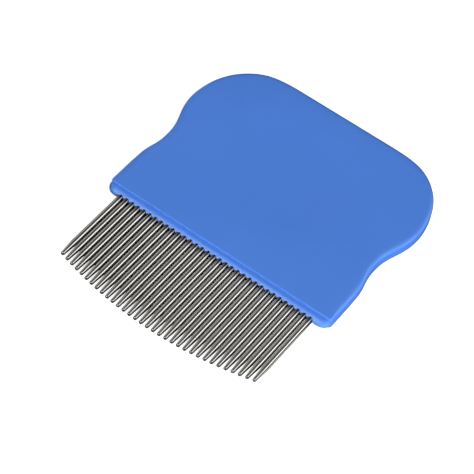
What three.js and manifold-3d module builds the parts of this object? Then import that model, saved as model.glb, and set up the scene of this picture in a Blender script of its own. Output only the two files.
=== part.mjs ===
// A palm-sized flea comb: one row of parallel round steel pins held in a moulded carrier bar, with a flat plastic
// grip moulded over the bar. It lies flat as on a table: +Z is up through the thickness, +Y runs from the pin tips to
// the back of the grip, and X runs along the row of pins. The origin is on the underside, in the middle of the
// overall length and width. Millimetres.
import * as THREE from "three";
import Module from "manifold-3d";

// ---------------------------------------------------------------- driving dimensions
const OVERALL_LENGTH = 84.84; // tip of the middle pin to the back edge of the grip
const THICKNESS = 3.5; // of the grip, which is the thickest piece
const MID = THICKNESS / 2; // height of the pin axes

// pins
const PIN_COUNT = 33;
const PIN_PITCH = 1.79;
const PIN_DIA = 1.65;
const PIN_TAPER = 5.2; // length of the slimmed end
const PIN_TIP_DIA = 1.04; // where the rounded tip begins
const PIN_CHAMFER = 0.25; // on the seated end
const PIN_FACETS = 10;
const TIP_ARC_RADIUS = 102.4; // the tips lie on this arc, the middle pin furthest forward
const PIN_SEAT = 7.3; // length of pin inside the bar, behind the front of the nose
const BORE_GAP = 0.03; // between a pin and its bore

// carrier bar
const NOSE_Y = -15.35; // foremost line of the rounded nose
const NOSE_DEPTH = 1.55; // length of its rounding, from the nose to the flat of the lip
const LIP_END_DEPTH = 0.9; // the same at the two ends of the lip
const BAR_HALF_HEIGHT = 1.16;
const LIP_HALF_WIDTH = 33.42;
const LIP_CORNER = 2.6; // plan radius of its two front corners
const TONGUE_HALF_WIDTH = 30.5; // the part of the bar that is buried in the grip
const TONGUE_END_Y = -6.9;
const NECK_HALF_HEIGHT = 1.0; // the grip's plastic locks into this waist
const NECK_START_Y = -12.4;
const NECK_END_Y = -10.4;
const NECK_SLOPE = 0.3;

// grip
const STEP_Y = -13.16; // the grip's front face, which stands above the lip
const EDGE_ROUND = 0.7; // height of the rounding of the grip's top and bottom edges
const EDGE_REACH = 1.5; // how far the same rounding reaches in across the faces
const FRONT_CORNER = 1.0; // plan radius of the grip's two front corners
const SIDE_X = 33.42; // straight sides beside the pins
const FIT_GAP = 0.06; // between the bar and the grip moulded over it
const DISH_DEPTH = 0.3; // thumb recess in each face
const DISH_Y = 16.3;
const DISH_HALF_WIDTH = 23.5;
const DISH_HALF_LENGTH = 20;

// Half outline of the grip past its straight side: a waist, a wide lobe, a rounded back corner and a straight back.
const GRIP_CURVE = [
  [33.42, -7.6], [33.4, -5.2], [33.32, -1.9], [33.2, 0.2], [32.86, 1.95], [32.4, 3.7], [32.07, 5.5], [31.98, 7.3],
  [32.02, 9.1], [32.16, 10.9], [32.58, 12.7], [33.14, 14.5], [33.82, 16.3], [34.36, 18.1], [34.74, 19.9],
  [34.98, 21.7], [35.03, 23.4], [34.92, 25.2], [34.66, 27.0], [34.26, 28.8], [33.76, 30.6], [33.02, 32.4],
  [32.06, 34.2], [30.84, 36.0], [29.2, 37.8], [27.3, 39.4], [25.2, 40.7], [23.3, 41.45], [21.2, 41.95],
  [18.8, 42.25], [16.2, 42.4], [13.4, 42.42],
];

// ---------------------------------------------------------------- a surface built face by face
class Surface {
  constructor() {
    this.known = new Map();
    this.at = [];
    this.faces = [];
  }
  // corners closer than a micrometre are one corner
  corner([x, y, z]) {
    const key = [x, y, z].map((v) => Math.round(v * 1000)).join();
    if (!this.known.has(key)) {
      this.known.set(key, this.at.length);
      this.at.push([x, y, z]);
    }
    return this.known.get(key);
  }
  // a convex face, its corners anticlockwise seen from outside
  face(...corners) {
    const c = corners.map((p) => this.corner(p)).filter((k, i, all) => k !== all[(i + 1) % all.length]);
    for (let i = 1; i < c.length - 1; i++) this.faces.push([c[0], c[i], c[i + 1]]);
  }
  // quads between two rows of equal length; lower runs left to right seen from outside, and upper lies above it
  strip(lower, upper, closed = false) {
    const n = lower.length;
    for (let i = 0; i < (closed ? n : n - 1); i++) {
      const j = (i + 1) % n;
      this.face(lower[i], lower[j], upper[j], upper[i]);
    }
  }
  // triangles between two closed rings, both anticlockwise about the point (cx, cy), the first one outside
  collar(outer, inner, cx, cy) {
    const turn = (ring) => {
      const a = ring.map(([x, y]) => Math.atan2(y - cy, x - cx));
      const k = a.indexOf(Math.min(...a));
      return { p: [...ring.slice(k), ...ring.slice(0, k), ring[k]], a: [...a.slice(k), ...a.slice(0, k), a[k] + 2 * Math.PI] };
    };
    const o = turn(outer),
      n = turn(inner);
    let i = 0,
      j = 0;
    while (i < outer.length || j < inner.length) {
      if (j === inner.length || (i < outer.length && o.a[i + 1] <= n.a[j + 1])) {
        this.face(o.p[i], o.p[i + 1], n.p[j]);
        i++;
      } else {
        this.face(o.p[i], n.p[j + 1], n.p[j]);
        j++;
      }
    }
  }
  geometry() {
    return new THREE.BufferGeometry()
      .setAttribute("position", new THREE.Float32BufferAttribute(this.at.flat(), 3))
      .setIndex(this.faces.flat());
  }
}

// The faces of a surface again, mirrored in the plane half way up, turned to face out.
function mirrored(surface, ...jobs) {
  for (const up of [true, false]) {
    const side = (p) => (up ? p : [p[0], p[1], THICKNESS - p[2]]);
    const face = up
      ? (...c) => surface.face(...c)
      : (...c) => surface.face(...c.map(side).reverse());
    for (const job of jobs) job(face);
  }
}

// ---------------------------------------------------------------- section shared by the bar's tongue and its pocket
// Half heights of the tongue along Y, widened by gap when it is the pocket.
const tongueRows = (gap, front) => [
  [front, BAR_HALF_HEIGHT + gap],
  [NECK_START_Y + gap, BAR_HALF_HEIGHT + gap],
  [NECK_START_Y + NECK_SLOPE + gap, NECK_HALF_HEIGHT + gap],
  [NECK_END_Y - NECK_SLOPE - gap, NECK_HALF_HEIGHT + gap],
  [NECK_END_Y - gap, BAR_HALF_HEIGHT + gap],
  [TONGUE_END_Y + gap, BAR_HALF_HEIGHT + gap],
];

// ---------------------------------------------------------------- grip
function grip() {
  const s = new Surface();
  const curve = new THREE.CatmullRomCurve3(
    GRIP_CURVE.map(([x, y]) => new THREE.Vector3(x, y, 0)), false, "centripetal",
  ).getSpacedPoints(33);
  const outward = curve.map((p, i) => {
    const a = curve[Math.max(0, i - 1)],
      b = curve[Math.min(curve.length - 1, i + 1)];
    const t = new THREE.Vector3().subVectors(b, a).normalize();
    return i === 0 ? [1, 0] : i === curve.length - 1 ? [0, 1] : [t.y, -t.x];
  });
  // right half from the front face to the back, shrunk by the edge rounding
  const half = (inset) => {
    const line = [],
      corner = Math.max(FRONT_CORNER, inset);
    for (let i = 0; i <= 3; i++) {
      const a = (1 - i / 3) * (Math.PI / 2);
      line.push([
        SIDE_X - corner + (corner - inset) * Math.cos(a),
        STEP_Y + FRONT_CORNER - FRONT_CORNER * Math.sin(a),
      ]);
    }
    curve.forEach((p, i) => line.push([p.x - outward[i][0] * inset, p.y - outward[i][1] * inset]));
    return line;
  };
  const levels = [0, 30, 60, 90].map((deg) => {
    const t = THREE.MathUtils.degToRad(deg);
    const right = half(EDGE_REACH * (1 - Math.cos(t))),
      z = THICKNESS - EDGE_ROUND + EDGE_ROUND * Math.sin(t);
    return [...right, ...right.map(([x, y]) => [-x, y]).reverse()].map(([x, y]) => [x, y, z]);
  });
  const down = (row) => row.map(([x, y, z]) => [x, y, THICKNESS - z]);

  // side wall and rounded edges, open at the front
  s.strip(down(levels[0]), levels[0]);
  for (let k = 0; k < levels.length - 1; k++) {
    s.strip(levels[k], levels[k + 1]);
    s.strip(down(levels[k + 1]), down(levels[k]));
  }

  // flat faces, each with a shallow oval dish
  const top = levels[levels.length - 1];
  const frontX = top[0][0];
  const edge = [-frontX / 2, 0, frontX / 2].map((x) => [x, STEP_Y, THICKNESS]);
  const oval = (r, depth, n = 32) =>
    Array.from({ length: n }, (_, i) => {
      const a = ((i + 0.5) / n) * 2 * Math.PI;
      return [DISH_HALF_WIDTH * r * Math.cos(a), DISH_Y + DISH_HALF_LENGTH * r * Math.sin(a), THICKNESS - depth];
    });
  const rings = [
    [...top, ...edge], oval(1, 0), oval(0.84, DISH_DEPTH * 0.22), oval(0.62, DISH_DEPTH * 0.62),
    oval(0.34, DISH_DEPTH * 0.92, 16),
  ];
  mirrored(s, (face) => {
    const part = { face };
    for (let k = 0; k < rings.length - 1; k++)
      Surface.prototype.collar.call(part, rings[k], rings[k + 1], 0, DISH_Y);
    const last = rings[rings.length - 1];
    last.forEach((p, i) => face(p, last[(i + 1) % last.length], [0, DISH_Y, THICKNESS - DISH_DEPTH]));
  });

  // front face, round the mouth of the pocket
  const w = TONGUE_HALF_WIDTH + FIT_GAP,
    h = BAR_HALF_HEIGHT + FIT_GAP;
  const line = [top[top.length - 1], ...edge, top[0]];
  mirrored(s, (face) => {
    const left = [-w, STEP_Y, MID + h],
      right = [w, STEP_Y, MID + h];
    face(left, line[2], line[1]);
    face(left, line[1], line[0]);
    face(left, right, line[2]);
    face(right, line[3], line[2]);
    face(right, line[4], line[3]);
    for (let k = 0; k < levels.length - 1; k++) {
      const a = levels[k][0],
        b = levels[k + 1][0];
      face(right, a, b);
      face(left, [-b[0], b[1], b[2]], [-a[0], a[1], a[2]]);
    }
  });
  const low = levels[0][0];
  const m = THICKNESS - low[2];
  s.face([w, STEP_Y, MID - h], [low[0], STEP_Y, m], [low[0], STEP_Y, low[2]], [w, STEP_Y, MID + h]);
  s.face([-low[0], STEP_Y, m], [-w, STEP_Y, MID - h], [-w, STEP_Y, MID + h], [-low[0], STEP_Y, low[2]]);

  // the pocket, which the carrier bar's tongue fills
  const rows = tongueRows(FIT_GAP, STEP_Y);
  for (let k = 0; k < rows.length - 1; k++) {
    const [y0, h0] = rows[k],
      [y1, h1] = rows[k + 1];
    mirrored(s, (face) => face([-w, y0, MID + h0], [-w, y1, MID + h1], [w, y1, MID + h1], [w, y0, MID + h0]));
    s.face([w, y0, MID - h0], [w, y0, MID + h0], [w, y1, MID + h1], [w, y1, MID - h1]);
    s.face([-w, y0, MID + h0], [-w, y0, MID - h0], [-w, y1, MID - h1], [-w, y1, MID + h1]);
  }
  const [ye, he] = rows[rows.length - 1];
  s.face([-w, ye, MID - he], [w, ye, MID - he], [w, ye, MID + he], [-w, ye, MID + he]);
  return s.geometry();
}

// ---------------------------------------------------------------- pins
const pinX = (i) => (i - (PIN_COUNT - 1) / 2) * PIN_PITCH;
const tipY = (x) =>
  -OVERALL_LENGTH / 2 + TIP_ARC_RADIUS - Math.sqrt(TIP_ARC_RADIUS * TIP_ARC_RADIUS - x * x);
const SEAT_END_Y = NOSE_Y + PIN_SEAT;

// A pin turned about Y, from its rounded tip to its chamfered seated end.
function pin(tip) {
  const r = PIN_DIA / 2,
    rt = PIN_TIP_DIA / 2;
  const profile = [
    [0, tip],
    [rt * 0.76, tip + rt * 0.24],
    [rt, tip + rt * 0.8],
    [rt + (r - rt) * 0.46, tip + PIN_TAPER * 0.5],
    [r, tip + PIN_TAPER],
    [r, SEAT_END_Y - PIN_CHAMFER],
    [r - PIN_CHAMFER, SEAT_END_Y],
    [0, SEAT_END_Y],
  ];
  return new THREE.LatheGeometry(
    profile.map(([radius, y]) => new THREE.Vector2(radius, y)), PIN_FACETS, Math.PI / PIN_FACETS,
  );
}

// ---------------------------------------------------------------- carrier bar
function carrierBar() {
  const s = new Surface();
  const seat = PIN_DIA / 2 + BORE_GAP,
    h = BAR_HALF_HEIGHT,
    rear = STEP_Y - FIT_GAP;
  // The bores have the pins' facets. The nose has a row of corners at the height of each corner of a bore's mouth.
  const mouth = Array.from({ length: PIN_FACETS }, (_, k) => {
    const a = (k / PIN_FACETS) * 2 * Math.PI;
    return [seat * Math.cos(a), seat * Math.sin(a)];
  });
  const heights = [h, 1.1, 0.98, mouth[2][1], mouth[1][1], 0];
  const noseRound = (z) => 1 - Math.sqrt(Math.max(0, 1 - (z / h) ** 2));
  const noseY = (z) => NOSE_Y + NOSE_DEPTH * noseRound(z);
  const cellX = Array.from({ length: PIN_COUNT + 1 }, (_, i) => pinX(i) - PIN_PITCH / 2);
  const stations = [-TONGUE_HALF_WIDTH, ...cellX, TONGUE_HALF_WIDTH];
  const at = (x, z) => [x, noseY(z), MID + z];

  // the rounded right end of the lip at a height above the middle: front to rear
  const end = (z) => {
    const k = noseRound(z),
      rx = LIP_CORNER - LIP_END_DEPTH * k,
      ry = LIP_CORNER - NOSE_DEPTH * k,
      cx = LIP_HALF_WIDTH - LIP_CORNER,
      cy = NOSE_Y + LIP_CORNER;
    const line = [at(TONGUE_HALF_WIDTH, z)];
    const turn = Math.acos((cy - rear) / ry);
    for (let i = 0; i <= 5; i++) {
      const a = (i / 5) * turn;
      line.push([cx + rx * Math.sin(a), cy - ry * Math.cos(a), MID + z]);
    }
    return line;
  };
  const flip = ([x, y, z]) => [-x, y, z];

  mirrored(s, (face) => {
    // nose of the two short ends between the last bore and the end of the tongue, and of the rounded ends
    const put = (...c) => {
      face(...c);
      face(...c.map(flip).reverse());
    };
    const inner = [TONGUE_HALF_WIDTH, rear, MID + h];
    for (let k = 0; k < heights.length - 1; k++) {
      const z1 = heights[k],
        z0 = heights[k + 1];
      put(at(cellX[PIN_COUNT], z0), at(TONGUE_HALF_WIDTH, z0), at(TONGUE_HALF_WIDTH, z1), at(cellX[PIN_COUNT], z1));
      const a = end(z0),
        b = end(z1);
      for (let i = 0; i < a.length - 1; i++) put(a[i], a[i + 1], b[i + 1], b[i]);
      // rear face of the lip's ends
      const last = a.length - 1;
      put(inner, b[last], a[last]);
      if (z0 === 0) put(inner, a[last], [TONGUE_HALF_WIDTH, rear, MID]);
    }
    // the flat of the rounded ends
    const rim = end(h);
    for (let i = 0; i < rim.length - 1; i++) put(inner, rim[i], rim[i + 1]);
    // the flat of the lip, and the top of the tongue with its waist
    const rows = [[noseY(h), h], ...tongueRows(0, rear)];
    for (let k = 0; k < rows.length - 1; k++)
      for (let i = 0; i < stations.length - 1; i++)
        face(
          [stations[i], rows[k][0], MID + rows[k][1]], [stations[i + 1], rows[k][0], MID + rows[k][1]],
          [stations[i + 1], rows[k + 1][0], MID + rows[k + 1][1]], [stations[i], rows[k + 1][0], MID + rows[k + 1][1]],
        );
    // ends of the tongue, from the middle up
    for (let k = 1; k < rows.length - 1; k++)
      put(
        [TONGUE_HALF_WIDTH, rows[k][0], MID], [TONGUE_HALF_WIDTH, rows[k + 1][0], MID],
        [TONGUE_HALF_WIDTH, rows[k + 1][0], MID + rows[k + 1][1]], [TONGUE_HALF_WIDTH, rows[k][0], MID + rows[k][1]],
      );
    // rear of the tongue, from the middle up
    const y = TONGUE_END_Y;
    for (let i = 0; i < stations.length - 1; i++)
      face([stations[i + 1], y, MID], [stations[i], y, MID], [stations[i], y, MID + h], [stations[i + 1], y, MID + h]);

    // the nose round each bore, and the upper half of the bore
    for (let i = 0; i < PIN_COUNT; i++) {
      const x = pinX(i),
        l = cellX[i],
        r = cellX[i + 1];
      const m = mouth.slice(0, 6).map(([dx, z]) => at(x + dx, z));
      for (let k = 0; k < 2; k++) {
        face(m[k], at(r, mouth[k][1]), at(r, mouth[k + 1][1]), m[k + 1]);
        face(at(l, mouth[5 - k][1]), m[5 - k], m[4 - k], at(l, mouth[4 - k][1]));
      }
      const [z1, z2, z3, z4] = [mouth[2][1], heights[2], heights[1], heights[0]];
      face(m[2], at(r, z1), at(r, z2));
      face(m[3], m[2], at(r, z2), at(l, z2));
      face(at(l, z1), m[3], at(l, z2));
      face(at(l, z2), at(r, z2), at(r, z3), at(l, z3));
      face(at(l, z3), at(r, z3), at(r, z4), at(l, z4));
      const deep = mouth.slice(0, 6).map(([dx, z]) => [x + dx, SEAT_END_Y + BORE_GAP, MID + z]);
      for (let k = 0; k < 5; k++) face(m[k], m[k + 1], deep[k + 1], deep[k]);
      face(deep[0], deep[1], deep[2], deep[3], deep[4], deep[5]);
    }
  });
  return s.geometry();
}

// ---------------------------------------------------------------- every piece is one closed solid, facing out
const wasm = await Module();
wasm.setup();

function checked(name, geometry) {
  const made = new wasm.Manifold(
    new wasm.Mesh({
      numProp: 3,
      vertProperties: new Float32Array(geometry.attributes.position.array),
      triVerts: new Uint32Array(geometry.index.array),
    }),
  );
  if (!(made.volume() > 0)) throw new Error(name + " isn't a solid that faces out");
  const faceted = geometry.toNonIndexed();
  faceted.computeVertexNormals();
  return faceted;
}

// ---------------------------------------------------------------- the comb
const blue = new THREE.MeshStandardMaterial({ color: 0x4a7acf, roughness: 0.42, metalness: 0 });
const blueBar = new THREE.MeshStandardMaterial({ color: 0x4f80d6, roughness: 0.36, metalness: 0 });
const steel = new THREE.MeshStandardMaterial({ color: 0xb9b6b0, roughness: 0.2, metalness: 1 });

const comb = new THREE.Group();

const gripMesh = new THREE.Mesh(checked("grip", grip()), blue);
gripMesh.name = "grip";
comb.add(gripMesh);

const barMesh = new THREE.Mesh(checked("pin_bar", carrierBar()), blueBar);
barMesh.name = "pin_bar";
comb.add(barMesh);

for (let i = 0; i < PIN_COUNT; i++) {
  const x = pinX(i);
  const mesh = new THREE.Mesh(pin(tipY(x)), steel);
  mesh.name = "pin_" + String(i + 1).padStart(2, "0");
  mesh.position.set(x, 0, MID);
  comb.add(mesh);
}

export default comb;
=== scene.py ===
import math

import bpy
import numpy as np
from mathutils import Matrix, Vector


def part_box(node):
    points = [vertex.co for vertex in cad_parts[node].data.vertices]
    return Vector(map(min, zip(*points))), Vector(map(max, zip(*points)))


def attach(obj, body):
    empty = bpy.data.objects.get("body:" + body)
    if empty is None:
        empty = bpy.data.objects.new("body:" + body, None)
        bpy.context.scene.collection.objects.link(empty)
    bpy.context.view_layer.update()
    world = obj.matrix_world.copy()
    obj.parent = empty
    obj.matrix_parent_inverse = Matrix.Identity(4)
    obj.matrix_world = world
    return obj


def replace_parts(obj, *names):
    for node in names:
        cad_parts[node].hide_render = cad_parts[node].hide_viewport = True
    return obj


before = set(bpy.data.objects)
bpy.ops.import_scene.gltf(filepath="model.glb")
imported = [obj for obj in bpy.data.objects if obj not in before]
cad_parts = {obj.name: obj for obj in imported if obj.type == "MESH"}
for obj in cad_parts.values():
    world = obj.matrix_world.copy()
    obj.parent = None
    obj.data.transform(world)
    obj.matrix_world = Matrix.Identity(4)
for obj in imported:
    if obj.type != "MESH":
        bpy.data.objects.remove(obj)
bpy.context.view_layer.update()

MM = 0.001

# ------------------------------------------------------------------ places, from the CAD frame
grip_lo, grip_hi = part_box("grip")
THICK = (grip_hi.z - grip_lo.z) / MM
MID = THICK / 2
BACK_Y = grip_hi.y / MM
STEP_Y = grip_lo.y / MM
pins = sorted(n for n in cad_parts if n.startswith("pin_") and n != "pin_bar")
PIN_X = [0.5 * (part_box(n)[0].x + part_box(n)[1].x) / MM for n in pins]
PIN_TIP = [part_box(n)[0].y / MM for n in pins]
PIN_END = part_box(pins[0])[1].y / MM
PITCH = (PIN_X[-1] - PIN_X[0]) / (len(PIN_X) - 1)

# ------------------------------------------------------------------ a mesh made face by face, in millimetres
class Surface:
    def __init__(self):
        self.known, self.at, self.faces = {}, [], []

    def corner(self, p):
        key = (round(p[0] * 2000), round(p[1] * 2000), round(p[2] * 2000))
        if key not in self.known:
            self.known[key] = len(self.at)
            self.at.append(p)
        return self.known[key]

    def face(self, *corners):
        c = [self.corner(p) for p in corners]
        c = [k for i, k in enumerate(c) if k != c[(i + 1) % len(c)]]
        if len(c) > 2:
            self.faces.append(c)

    def strip(self, lower, upper, closed=False):
        n = len(lower)
        for i in range(n if closed else n - 1):
            j = (i + 1) % n
            self.face(lower[i], lower[j], upper[j], upper[i])

    def object(self, name, material, sharp_deg=40.0):
        mesh = bpy.data.meshes.new(name)
        mesh.from_pydata([(x * MM, y * MM, z * MM) for x, y, z in self.at], [], self.faces)
        mesh.validate()
        mesh.shade_smooth()
        mesh.set_sharp_from_angle(angle=math.radians(sharp_deg))
        mesh.materials.append(material)
        made = bpy.data.objects.new(name, mesh)
        bpy.context.scene.collection.objects.link(made)
        return made


def mirrored(job):
    """Runs job(face) for the upper half and for its mirror image in the plane half way up."""
    def wrap(surface):
        job(surface.face)
        job(lambda *c: surface.face(*[(x, y, THICK - z) for x, y, z in reversed(c)]))
    return wrap


# ------------------------------------------------------------------ node helpers
def nodes_of(material):
    material.use_nodes = True
    tree = material.node_tree
    tree.nodes.clear()
    out = tree.nodes.new("ShaderNodeOutputMaterial")
    bsdf = tree.nodes.new("ShaderNodeBsdfPrincipled")
    tree.links.new(bsdf.outputs[0], out.inputs[0])
    return tree, bsdf


def add(tree, kind, **values):
    node = tree.nodes.new(kind)
    for key, value in values.items():
        if key in node.inputs:
            node.inputs[key].default_value = value
        else:
            setattr(node, key, value)
    return node


def mapped(tree, scale):
    coords = tree.nodes.new("ShaderNodeTexCoord")
    mapping = tree.nodes.new("ShaderNodeMapping")
    mapping.inputs["Scale"].default_value = scale
    tree.links.new(coords.outputs["Object"], mapping.inputs["Vector"])
    return mapping.outputs["Vector"]


def noise(tree, vector, scale, detail=2.0, rough=0.5):
    node = add(tree, "ShaderNodeTexNoise", Scale=scale, Detail=detail, Roughness=rough)
    tree.links.new(vector, node.inputs["Vector"])
    return node.outputs["Fac"]


def ramp(tree, value, lo, hi, to_lo, to_hi):
    node = add(tree, "ShaderNodeMapRange")
    node.inputs["From Min"].default_value = lo
    node.inputs["From Max"].default_value = hi
    node.inputs["To Min"].default_value = to_lo
    node.inputs["To Max"].default_value = to_hi
    tree.links.new(value, node.inputs["Value"])
    return node.outputs["Result"]


def bump(tree, height, distance, strength, normal=None):
    node = add(tree, "ShaderNodeBump", Distance=distance, Strength=strength)
    tree.links.new(height, node.inputs["Height"])
    if normal is not None:
        tree.links.new(normal, node.inputs["Normal"])
    return node.outputs["Normal"]


def plastic(name, dark, light, rough_lo, rough_hi, grain):
    """Moulded polypropylene: a blue body colour that drifts a little, a fine satin grain and faint handling marks."""
    material = bpy.data.materials.new(name)
    tree, bsdf = nodes_of(material)
    vector = mapped(tree, (1.0, 1.0, 1.0))
    drift = noise(tree, vector, 38.0, 3.0, 0.55)
    mix = add(tree, "ShaderNodeMix", data_type="RGBA")
    for socket in mix.inputs:
        if socket.type == "RGBA":
            socket.default_value = (*(dark if socket.identifier.startswith("A") else light), 1)
    tree.links.new(ramp(tree, drift, 0.3, 0.7, 0.0, 1.0), mix.inputs[0])
    colour = next(s for s in mix.outputs if s.type == "RGBA")
    tree.links.new(colour, bsdf.inputs["Base Color"])
    handling = noise(tree, vector, 260.0, 4.0, 0.6)
    tree.links.new(ramp(tree, handling, 0.3, 0.7, rough_lo, rough_hi), bsdf.inputs["Roughness"])
    fine = noise(tree, vector, 5200.0, 2.0, 0.5)
    wave = noise(tree, vector, 120.0, 1.0, 0.4)
    normal = bump(tree, wave, 0.0001, 0.12)
    tree.links.new(bump(tree, fine, 0.00002, grain, normal), bsdf.inputs["Normal"])
    bsdf.inputs["Specular IOR Level"].default_value = 0.75
    bsdf.inputs["IOR"].default_value = 1.49
    bsdf.inputs["Subsurface Weight"].default_value = 0.0
    return material


def steel(name):
    """Drawn stainless wire, polished: fine lengthwise drawing lines and slight patches of wear. The base colour also
    carries
    painted shade: darker on the flanks that face the next pin and in the last two millimetres before the bar."""
    material = bpy.data.materials.new(name)
    tree, bsdf = nodes_of(material)
    lines = noise(tree, mapped(tree, (9000.0, 60.0, 9000.0)), 1.0, 3.0, 0.6)
    patches = noise(tree, mapped(tree, (1.0, 1.0, 1.0)), 420.0, 3.0, 0.6)
    mix = add(tree, "ShaderNodeMix", data_type="RGBA")
    for socket in mix.inputs:
        if socket.type == "RGBA":
            tone = (0.50, 0.488, 0.464) if socket.identifier.startswith("A") else (0.60, 0.588, 0.562)
            socket.default_value = (*tone, 1)
    tree.links.new(patches, mix.inputs[0])
    coords = tree.nodes.new("ShaderNodeTexCoord")
    place, facing = add(tree, "ShaderNodeSeparateXYZ"), add(tree, "ShaderNodeSeparateXYZ")
    tree.links.new(coords.outputs["Object"], place.inputs[0])
    tree.links.new(coords.outputs["Normal"], facing.inputs[0])

    def size_of(value):
        node = add(tree, "ShaderNodeMath", operation="ABSOLUTE")
        tree.links.new(value, node.inputs[0])
        return node.outputs[0]

    def combined(operation, a, b):
        node = add(tree, "ShaderNodeMath", operation=operation)
        tree.links.new(a, node.inputs[0])
        tree.links.new(b, node.inputs[1])
        return node.outputs[0]

    # Painted shade in the base colour: flanks facing the next pin and the pin roots before the bar are darkened, the
    # last pin's outer flank is not
    flank = ramp(tree, size_of(facing.outputs["X"]), 0.62, 0.98, 1.0, 0.48)
    outside = ramp(tree, size_of(place.outputs["X"]), (PIN_X[-1] + 0.15) * MM, (PIN_X[-1] + 0.40) * MM, 0.0, 1.0)
    root = ramp(tree, place.outputs["Y"], -0.0176, -0.0151, 1.0, 0.24)
    root.node.interpolation_type = "SMOOTHSTEP"
    painted_shade = add(tree, "ShaderNodeVectorMath", operation="SCALE")
    tree.links.new(next(s for s in mix.outputs if s.type == "RGBA"), painted_shade.inputs[0])
    tree.links.new(combined("MULTIPLY", combined("MAXIMUM", flank, outside), root), painted_shade.inputs["Scale"])
    tree.links.new(painted_shade.outputs[0], bsdf.inputs["Base Color"])
    bsdf.inputs["Metallic"].default_value = 1.0
    tree.links.new(ramp(tree, lines, 0.25, 0.75, 0.08, 0.12), bsdf.inputs["Roughness"])
    tree.links.new(bump(tree, lines, 0.000002, 0.10), bsdf.inputs["Normal"])
    return material


GRIP_BLUE = plastic("grip_plastic", (0.053, 0.173, 0.580), (0.060, 0.185, 0.608), 0.36, 0.44, 0.22)
BAR_BLUE = plastic("bar_plastic", (0.053, 0.173, 0.580), (0.060, 0.185, 0.608), 0.30, 0.38, 0.12)
STEEL = steel("pin_steel")

# ------------------------------------------------------------------ grip
CURVE = np.array([
    (33.42, -7.6), (33.4, -5.2), (33.32, -1.9), (33.2, 0.2), (32.86, 1.95), (32.4, 3.7), (32.07, 5.5), (31.98, 7.3),
    (32.02, 9.1), (32.16, 10.9), (32.58, 12.7), (33.14, 14.5), (33.82, 16.3), (34.36, 18.1), (34.74, 19.9),
    (34.98, 21.7), (35.03, 23.4), (34.92, 25.2), (34.66, 27.0), (34.26, 28.8), (33.76, 30.6), (33.02, 32.4),
    (32.06, 34.2), (30.84, 36.0), (29.2, 37.8), (27.3, 39.4), (25.2, 40.7), (23.3, 41.45), (21.2, 41.95),
    (18.8, 42.25), (16.2, 42.4), (13.4, 42.42), (9.0, 42.42), (4.0, 42.42), (0.0, 42.42),
])
SIDE_X = 33.42
FRONT_CORNER = 0.85
EDGE = 0.70  # height of the rounding of the side and back edges
REACH = 1.5  # how far the same rounding reaches in across the faces
CRISP = 0.10  # rounding of the step's top edge


def evenly(points, step):
    gap = np.linalg.norm(np.diff(points, axis=0), axis=1)
    run = np.concatenate([[0], np.cumsum(gap)])
    n = max(2, int(round(run[-1] / step)))
    s = np.linspace(0, run[-1], n + 1)
    return np.stack([np.interp(s, run, points[:, k]) for k in range(2)], 1)


def smoothed(points, sigma, step):
    """The open line, smoothed along its length with its ends held, without shrinking."""
    reach = int(math.ceil(4 * sigma / step))
    kernel = np.exp(-0.5 * (np.arange(-reach, reach + 1) * step / sigma) ** 2)
    kernel /= kernel.sum()

    def blur(p):
        before = 2 * p[0] - p[1:reach + 1][::-1]
        after = np.stack([-p[-reach - 1:-1][::-1][:, 0], p[-reach - 1:-1][::-1][:, 1]], 1)
        padded = np.concatenate([before, p, after])
        return np.stack([np.convolve(padded[:, k], kernel, "valid") for k in range(2)], 1)

    once = blur(points)
    return 2 * once - blur(once)


def grip_outline():
    """Right half, from the middle of the step to the middle of the back: points, and how far each moves in at the top."""
    ends = np.array([(SIDE_X, STEP_Y + FRONT_CORNER), *CURVE])
    line = evenly(ends, 0.1)
    line = evenly(smoothed(line, 1.3, 0.1), 0.45)
    line[0] = (SIDE_X, STEP_Y + FRONT_CORNER)
    line[-1] = (0.0, BACK_Y)
    tangent = np.gradient(line, axis=0)
    tangent /= np.linalg.norm(tangent, axis=1)[:, None]
    out = np.stack([tangent[:, 1], -tangent[:, 0]], 1)
    out[0], out[-1] = (1, 0), (0, 1)
    n = 10
    a = np.linspace(-math.pi / 2, 0, n, endpoint=False)
    corner = np.stack([SIDE_X - FRONT_CORNER + FRONT_CORNER * np.cos(a), STEP_Y + FRONT_CORNER + FRONT_CORNER * np.sin(a)], 1)
    t = (a + math.pi / 2) / (math.pi / 2)
    side = t * t * (3 - 2 * t)
    corner_in = np.stack([-0.45 * REACH * side, CRISP * (1 - side)], 1)
    # past the corner the rounding widens to its full reach over a few millimetres of the side
    run = np.concatenate([[0], np.cumsum(np.linalg.norm(np.diff(line, axis=0), axis=1))]) / 3.2
    run = np.clip(run, 0, 1)
    reach = REACH * (0.45 + 0.55 * run * run * (3 - 2 * run))
    front_x = np.arange(0, 66) / 66 * (SIDE_X - FRONT_CORNER)
    front = np.stack([front_x, np.full(66, STEP_Y)], 1)
    front_in = np.tile([0.0, CRISP], (66, 1))
    return np.concatenate([front, corner, line]), np.concatenate([front_in, corner_in, -out * reach[:, None]])


def dish(x, y):
    """Share of the dish's depth at a point: an egg, broad towards the back, that fades out without an edge."""
    back = y > 22.0
    p = np.where(back, 2.6, 1.75)
    b = np.where(back, 13.8, 25.5)
    q = ((np.abs(x) / 23.2) ** p + (np.abs(y - 22.0) / b) ** p) ** (1 / p)
    q = np.clip(q, 0, 1)
    return (1 - q ** 2.4) ** 1.6


DISH = 0.34
POCKET_W, POCKET_H = 30.56, 1.22
POCKET_ROWS = [(STEP_Y, 1.22), (-12.34, 1.22), (-12.04, 1.06), (-10.76, 1.06), (-10.46, 1.22), (-6.84, 1.22)]


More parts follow.
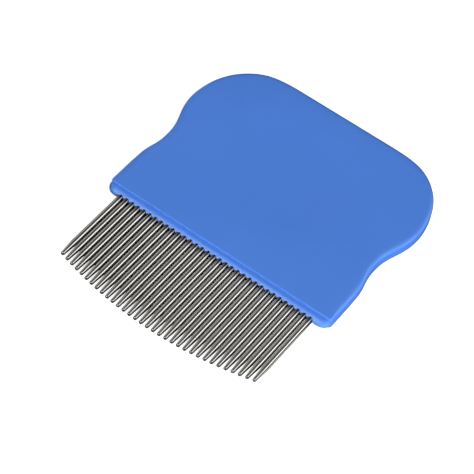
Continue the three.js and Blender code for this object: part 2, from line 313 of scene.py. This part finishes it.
def build_grip():
    s = Surface()
    half, inward = grip_outline()
    loop = np.concatenate([half, half[1:-1][::-1] * [-1, 1]])
    inward = np.concatenate([inward, inward[1:-1][::-1] * [-1, 1]])
    n = len(loop)
    front = [i for i in range(n) if abs(loop[i, 1] - STEP_Y) < 1e-6]
    levels = []
    for t in np.linspace(0, math.pi / 2, 15):
        ring = loop + inward * (1 - math.cos(t))
        levels.append([(x, y, THICK - EDGE + EDGE * math.sin(t)) for x, y in ring])
    # side wall, open where the front face has its pocket
    on_front = set(front)
    for i in range(n):
        j = (i + 1) % n
        if i in on_front and j in on_front:
            continue
        a, b = levels[0][i], levels[0][j]
        cuts = np.linspace(THICK - a[2], a[2], 6)
        for z0, z1 in zip(cuts, cuts[1:]):
            s.face((a[0], a[1], z0), (b[0], b[1], z0), (b[0], b[1], z1), (a[0], a[1], z1))

    inner = np.array([(x, y) for x, y, _ in levels[-1]])
    centre = np.array([0.0, 15.5])
    shares = np.concatenate([[1.0, 0.992, 0.98, 0.962], np.linspace(0.94, 0.03, 54)])
    rings = []
    for k in shares:
        flat = centre + k * (inner - centre)
        depth = DISH * dish(flat[:, 0], flat[:, 1])
        rings.append([(x, y, THICK - d) for (x, y), d in zip(flat, depth)])

    @mirrored
    def faces(face):
        for lower, upper in [*zip(levels, levels[1:]), *zip(rings, rings[1:])]:
            for i in range(n):
                j = (i + 1) % n
                face(lower[i], lower[j], upper[j], upper[i])
        last = rings[-1]
        top = (0.0, 15.5, THICK - DISH * float(dish(np.array([0.0]), np.array([15.5]))[0]))
        for i in range(n):
            face(last[i], last[(i + 1) % n], top)

    faces(s)
    # front face, round the mouth of the pocket that the carrier bar fills
    row = sorted(front, key=lambda i: loop[i, 0])
    top = [levels[0][i] for i in row]
    mouth_x = [x for x in (p[0] for p in top) if abs(x) < POCKET_W]
    w, h = POCKET_W, POCKET_H
    upper = [(-w, STEP_Y, MID + h), *[(x, STEP_Y, MID + h) for x in mouth_x], (w, STEP_Y, MID + h)]

    inside = [p for p in top if abs(p[0]) < w]
    outside_r = [p for p in top if p[0] >= w]
    outside_l = [p for p in top if p[0] <= -w]

    @mirrored
    def above(face):
        for a, b in zip(inside, inside[1:]):
            face((a[0], a[1], MID + h), (b[0], b[1], MID + h), b, a)
        face((inside[-1][0], STEP_Y, MID + h), upper[-1], outside_r[0], inside[-1])
        face(upper[0], (inside[0][0], STEP_Y, MID + h), inside[0], outside_l[-1])

    above(s)
    right = [*outside_r]
    s.face((w, STEP_Y, MID - h), *[(x, y, THICK - z) for x, y, z in right], *reversed(right), (w, STEP_Y, MID + h))
    lefts = [*outside_l]
    s.face(*[(x, y, THICK - z) for x, y, z in lefts], (-w, STEP_Y, MID - h), (-w, STEP_Y, MID + h), *reversed(lefts))
    for (y0, h0), (y1, h1) in zip(POCKET_ROWS, POCKET_ROWS[1:]):
        xs = [-w, *mouth_x, w] if y0 == STEP_Y else None
        for up in (1, -1):
            if xs:
                ring = [(x, y0, MID + up * h0) for x in xs]
                poly = [*ring[::-1], (-w, y1, MID + up * h1), (w, y1, MID + up * h1)]
            else:
                poly = [(w, y0, MID + up * h0), (-w, y0, MID + up * h0), (-w, y1, MID + up * h1), (w, y1, MID + up * h1)]
            s.face(*(poly if up == 1 else poly[::-1]))
        s.face((w, y0, MID - h0), (w, y0, MID + h0), (w, y1, MID + h1), (w, y1, MID - h1))
        s.face((-w, y0, MID + h0), (-w, y0, MID - h0), (-w, y1, MID - h1), (-w, y1, MID + h1))
    ye, he = POCKET_ROWS[-1]
    s.face((-w, ye, MID - he), (w, ye, MID - he), (w, ye, MID + he), (-w, ye, MID + he))
    return s.object("grip_moulding", GRIP_BLUE, 38.0)


# ------------------------------------------------------------------ carrier bar
BAR_H = 1.16
NOSE_Y, NOSE_D, END_D = -15.35, 1.55, 0.9
LIP_W, LIP_R = 33.42, 2.6
TONGUE_W, TONGUE_END = 30.5, -6.9
REAR = STEP_Y - 0.03
SEAT_R = 0.835
BAR_ROWS = [(REAR, BAR_H), (-12.4, BAR_H), (-12.1, 1.0), (-10.7, 1.0), (-10.4, BAR_H), (TONGUE_END, BAR_H)]


def build_bar():
    s = Surface()
    per = 12  # divisions of each side of a cell, and of half a turn of the nose
    turns = [math.pi / 2 * k / (per // 2) for k in range(-(per // 2), per // 2 + 1)]

    def nose_back(t):
        return 1 - math.cos(t)

    def at(x, t):
        return (x, NOSE_Y + NOSE_D * nose_back(t), MID + BAR_H * math.sin(t))

    half = PITCH / 2
    side = per
    count = 4 * side
    outer = []
    for k in range(count):
        e, f = divmod((k + side // 2) % count, side)
        u = -1 + 2 * f / side
        outer.append([(half, math.pi / 2 * u), (-half * u, math.pi / 2), (-half, -math.pi / 2 * u), (half * u, -math.pi / 2)][e])
    # a bore's mouth is drawn in over a short lip, as the plastic shrinks onto the wire
    for px in PIN_X:
        def ring(r):
            pts = []
            for k in range(count):
                a = 2 * math.pi * k / count
                pts.append((r * math.cos(a), math.asin(max(-1, min(1, r * math.sin(a) / BAR_H)))))
            return pts
        mouth = ring(SEAT_R + 0.045)
        rows = []
        base = [at(px + x, t) for x, t in ring(SEAT_R)]
        rows.append([(x, y + 0.10, z) for x, y, z in base])
        near = [at(px + x, t) for x, t in ring(SEAT_R + 0.018)]
        rows.append([(x, y + 0.035, z) for x, y, z in near])
        for q in (0, 0.12, 0.28, 0.46, 0.66, 0.84, 1.0):
            rows.append([
                at(px + m[0] * (1 - q) + o[0] * q, m[1] * (1 - q) + o[1] * q) for m, o in zip(mouth, outer)
            ])
        for a, b in zip(rows, rows[1:]):
            for i in range(count):
                j = (i + 1) % count
                s.face(a[i], b[i], b[j], a[j])
        deep = [(px + SEAT_R * math.cos(2 * math.pi * k / count), PIN_END + 0.03, MID + SEAT_R * math.sin(2 * math.pi * k / count)) for k in range(count)]
        shallow = rows[0]
        for i in range(count):
            j = (i + 1) % count
            s.face(shallow[i], shallow[j], deep[j], deep[i])
        s.face(*deep)

    xs = sorted({round(px + half * (-1 + 2 * f / side), 6) for px in PIN_X for f in range(side + 1)})
    merged = [xs[0]]
    for x in xs[1:]:
        if x - merged[-1] > 1e-3:
            merged.append(x)
    xs = merged
    edge_x = xs[-1]

    def column(a):
        """One line over the nose of the lip's rounded right end, at a share of the turn."""
        pts = []
        for t in turns:
            k = nose_back(t)
            rx, ry = LIP_R - END_D * k, LIP_R - NOSE_D * k
            cy = NOSE_Y + LIP_R
            turn = math.acos((cy - REAR) / ry)
            pts.append((LIP_W - LIP_R + rx * math.sin(a * turn), cy - ry * math.cos(a * turn), MID + BAR_H * math.sin(t)))
        return pts

    straight = [[at(x, t) for t in turns] for x in (edge_x, TONGUE_W)]
    round_end = [column(a) for a in np.linspace(0, 1, 17)]
    columns = [*straight, *round_end]

    def flip(p):
        return (-p[0], p[1], p[2])

    def put(*c):
        s.face(*c)
        s.face(*[flip(p) for p in reversed(c)])

    for a, b in zip(columns, columns[1:]):
        for k in range(len(turns) - 1):
            put(a[k], b[k], b[k + 1], a[k + 1])
    last = columns[-1]
    put((TONGUE_W, REAR, MID - BAR_H), (TONGUE_W, REAR, MID + BAR_H), *reversed(last))
    inner_top = (TONGUE_W, REAR, MID + BAR_H)
    rim = [c[-1] for c in columns[1:]]
    put(inner_top, *rim)
    low = [c[0] for c in columns[1:]]
    put((TONGUE_W, REAR, MID - BAR_H), *reversed(low))

    stations = [-TONGUE_W, *xs, TONGUE_W]
    nose_top = NOSE_Y + NOSE_D

    @mirrored
    def flats(face):
        rows = [(nose_top, BAR_H), *BAR_ROWS]
        for (y0, h0), (y1, h1) in zip(rows, rows[1:]):
            for x0, x1 in zip(stations, stations[1:]):
                face((x0, y0, MID + h0), (x1, y0, MID + h0), (x1, y1, MID + h1), (x0, y1, MID + h1))

    flats(s)
    for (y0, h0), (y1, h1) in zip(BAR_ROWS, BAR_ROWS[1:]):
        put((TONGUE_W, y0, MID - h0), (TONGUE_W, y1, MID - h1), (TONGUE_W, y1, MID + h1), (TONGUE_W, y0, MID + h0))
    for x0, x1 in zip(stations, stations[1:]):
        s.face((x1, TONGUE_END, MID - BAR_H), (x0, TONGUE_END, MID - BAR_H), (x0, TONGUE_END, MID + BAR_H), (x1, TONGUE_END, MID + BAR_H))
    return s.object("pin_bar_moulding", BAR_BLUE, 42.0)


# ------------------------------------------------------------------ pins
PIN_R, TIP_R, TIP_CAP, TAPER = 0.825, 0.51, 0.40, 4.9


def build_pin(index, px, tip):
    s = Surface()
    profile = [(0.0, tip)]
    for deg in np.linspace(12, 80, 9):
        a = math.radians(deg)
        profile.append((TIP_R * math.sin(a) ** 0.85, tip + TIP_CAP * (1 - math.cos(a))))
    y0 = profile[-1][1]
    for k in np.linspace(0, 1, 15)[1:]:
        grow = k - 0.05 * math.sin(k * math.pi)
        profile.append((TIP_R + (PIN_R - TIP_R) * grow, y0 + (TAPER - 0.5) * k))
    for y in np.linspace(profile[-1][1], PIN_END - 0.25, 7)[1:]:
        profile.append((PIN_R, y))
    profile += [(PIN_R - 0.03, PIN_END - 0.1), (PIN_R - 0.25, PIN_END), (0.0, PIN_END)]
    count = 40
    rings = [
        [(px + r * math.cos(2 * math.pi * k / count), y, MID + r * math.sin(2 * math.pi * k / count)) for k in range(count)]
        for r, y in profile[1:-1]
    ]
    nose, end = (px, tip, MID), (px, PIN_END, MID)
    for i in range(count):
        j = (i + 1) % count
        s.face(nose, rings[0][i], rings[0][j])
        s.face(end, rings[-1][j], rings[-1][i])
    for a, b in zip(rings, rings[1:]):
        for i in range(count):
            j = (i + 1) % count
            s.face(a[j], a[i], b[i], b[j])
    return s.object(f"needle_{index:02d}", STEEL, 50.0)


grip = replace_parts(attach(build_grip(), "root"), "grip")
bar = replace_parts(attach(build_bar(), "root"), "pin_bar")
for i, (name, px, tip) in enumerate(zip(pins, PIN_X, PIN_TIP)):
    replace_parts(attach(build_pin(i + 1, px, tip), "root"), name)

# ------------------------------------------------------------------ stage
def sheet(name, points, faces, albedo, glow):
    mesh = bpy.data.meshes.new(name)
    mesh.from_pydata(points, [], faces)
    material = bpy.data.materials.new(name)
    _, bsdf = nodes_of(material)
    bsdf.inputs["Base Color"].default_value = (albedo, albedo, albedo, 1)
    bsdf.inputs["Roughness"].default_value = 0.9
    bsdf.inputs["Specular IOR Level"].default_value = 0.0
    bsdf.inputs["Emission Color"].default_value = (1, 1, 1, 1)
    bsdf.inputs["Emission Strength"].default_value = glow
    mesh.materials.append(material)
    made = bpy.data.objects.new(name, mesh)
    bpy.context.scene.collection.objects.link(made)
    return made


def circle(radius, z):
    return [(radius * math.cos(2 * math.pi * k / 96), radius * math.sin(2 * math.pi * k / 96), z) for k in range(96)]


# A white table that glows, so that it stays white round the comb. Only the camera sees it.
table = sheet("floor", circle(3.0, -0.00003), [list(range(96))], 0.80, 0.90)
table.visible_glossy = table.visible_diffuse = table.visible_shadow = False
# Mirrored and bounced light meets this sheet instead of the table: a dark grey sheet standing in for the shade between
# and beside the pins, and a glowing patch to the right of the pins, painted light that the last pin's flank mirrors.
bounce = sheet("bounce_table", circle(3.0, -0.00002), [list(range(96))], 0.10, 0.0)
tree = bounce.data.materials[0].node_tree
split = tree.nodes.new("ShaderNodeSeparateXYZ")
tree.links.new(mapped(tree, (1.0, 1.0, 1.0)), split.inputs[0])
# painted light: the glowing patch to the right of the pins, seen only in reflections
both = add(tree, "ShaderNodeMath", operation="MULTIPLY")
tree.links.new(ramp(tree, split.outputs["X"], 0.0300, 0.0340, 0.0, 0.95), both.inputs[0])
tree.links.new(ramp(tree, split.outputs["Y"], -0.0170, -0.0130, 1.0, 0.0), both.inputs[1])
tree.links.new(both.outputs[0], next(n for n in tree.nodes if n.type == "BSDF_PRINCIPLED").inputs["Emission Strength"])
bounce.visible_camera = bounce.visible_shadow = False
# A pale wall far round the table, which only the camera sees, for views from near table height.
wall = sheet("backdrop", circle(2.98, -0.02) + circle(2.98, 2.6), [[k, (k + 1) % 96, 96 + (k + 1) % 96, 96 + k] for k in range(96)], 0.0, 0.93)
wall.visible_glossy = wall.visible_diffuse = wall.visible_shadow = False

# ------------------------------------------------------------------ studio
world = bpy.data.worlds.new("studio")
bpy.context.scene.world = world
world.use_nodes = True
wt = world.node_tree
wt.nodes.clear()
w_out = wt.nodes.new("ShaderNodeOutputWorld")
w_bg = wt.nodes.new("ShaderNodeBackground")
w_co = wt.nodes.new("ShaderNodeTexCoord")
w_xyz = wt.nodes.new("ShaderNodeSeparateXYZ")
w_map = wt.nodes.new("ShaderNodeMapRange")
w_map.interpolation_type = "SMOOTHSTEP"
w_map.inputs["From Min"].default_value = 0.36
w_map.inputs["From Max"].default_value = 0.84
w_map.inputs["To Min"].default_value = 0.01
w_map.inputs["To Max"].default_value = 0.13
wt.links.new(w_co.outputs["Generated"], w_xyz.inputs[0])
wt.links.new(w_xyz.outputs["Z"], w_map.inputs["Value"])
wt.links.new(w_map.outputs["Result"], w_bg.inputs["Strength"])
w_bg.inputs["Color"].default_value = (1, 1, 1, 1)
wt.links.new(w_bg.outputs[0], w_out.inputs[0])


def softbox(name, direction, distance, width, height, radiance, along=None, colour=(1, 1, 1), target=(0, -0.005, 0.002)):
    """A rectangular light that faces the comb; along is the direction that its width follows."""
    light = bpy.data.lights.new(name, "AREA")
    light.shape = "RECTANGLE"
    light.size, light.size_y = width, height
    light.energy = radiance * math.pi * width * height
    light.color = colour
    made = bpy.data.objects.new(name, light)
    bpy.context.scene.collection.objects.link(made)
    d = Vector(direction).normalized()
    made.location = Vector(target) + d * distance
    made.rotation_mode = "QUATERNION"
    if along is None:
        made.rotation_quaternion = d.to_track_quat("Z", "Y")
    else:
        x = Vector(along)
        x = (x - d * x.dot(d)).normalized()
        y = d.cross(x)
        made.rotation_quaternion = Matrix((x, y, d)).transposed().to_quaternion()
    return made


def across_pins(deg):
    """The direction that a pin mirrors to the camera, by its angle from overhead towards the right."""
    a = math.radians(deg)
    return (0.838 * math.sin(a), 0.545, 0.838 * math.cos(a))


def tangent(deg):
    a = math.radians(deg)
    return (math.cos(a), 0.0, -math.sin(a))


softbox("right_softbox", across_pins(41), 0.9, 0.42, 1.0, 2.2, along=tangent(41))
softbox("left_card", across_pins(-66), 1.0, 0.42, 0.55, 0.86, along=tangent(-66))
softbox("overhead", (-0.30, -0.25, 0.92), 1.1, 0.5, 0.5, 2.8)
key = softbox("side_key", (0.85, -0.46, 0.22), 1.2, 0.75, 0.75, 12.8)
key.visible_glossy = False  # it is low, and would otherwise glare off the flat top in views from the far side
fill = softbox("front_fill", (-0.20, -0.80, 0.55), 1.0, 0.9, 0.45, 3.6)
fill.visible_glossy = False
softbox("nose_card", (-0.30, -0.76, 0.58), 1.0, 0.34, 0.42, 5.0)

# ------------------------------------------------------------------ camera
camera_data = bpy.data.cameras.new("camera")
camera = bpy.data.objects.new("camera", camera_data)
bpy.context.scene.collection.objects.link(camera)
bpy.context.scene.camera = camera
camera_data.sensor_width = 36.0
camera_data.lens = 36.0 * 2296.14 / 474.0
camera_data.clip_start, camera_data.clip_end = 0.01, 20.0
turn = Matrix.Rotation(-3.30822154, 3, "Z") @ Matrix.Rotation(0.67390847, 3, "X") @ Matrix.Rotation(2.64310257, 3, "Z")
turn = turn.transposed()
place = Vector((93.9635, -165.6494, 245.2858))
CAMERA_AT = Vector((place.x * 1.79, (place.y - 9.92) * 1.79, place.z * 1.79 + 1.75)) * MM
nudge = 0.5 * (310.5 * 1.79 * MM) / 2296.14
camera.rotation_mode = "QUATERNION"
camera.rotation_quaternion = turn.to_quaternion()
camera.location = CAMERA_AT + turn @ Vector((-nudge, nudge, 0)) + Vector((0.075 * 1.79 * MM, 0, 0))

bpy.context.scene.view_settings.view_transform = "Standard"

bpy.context.view_layer.update()
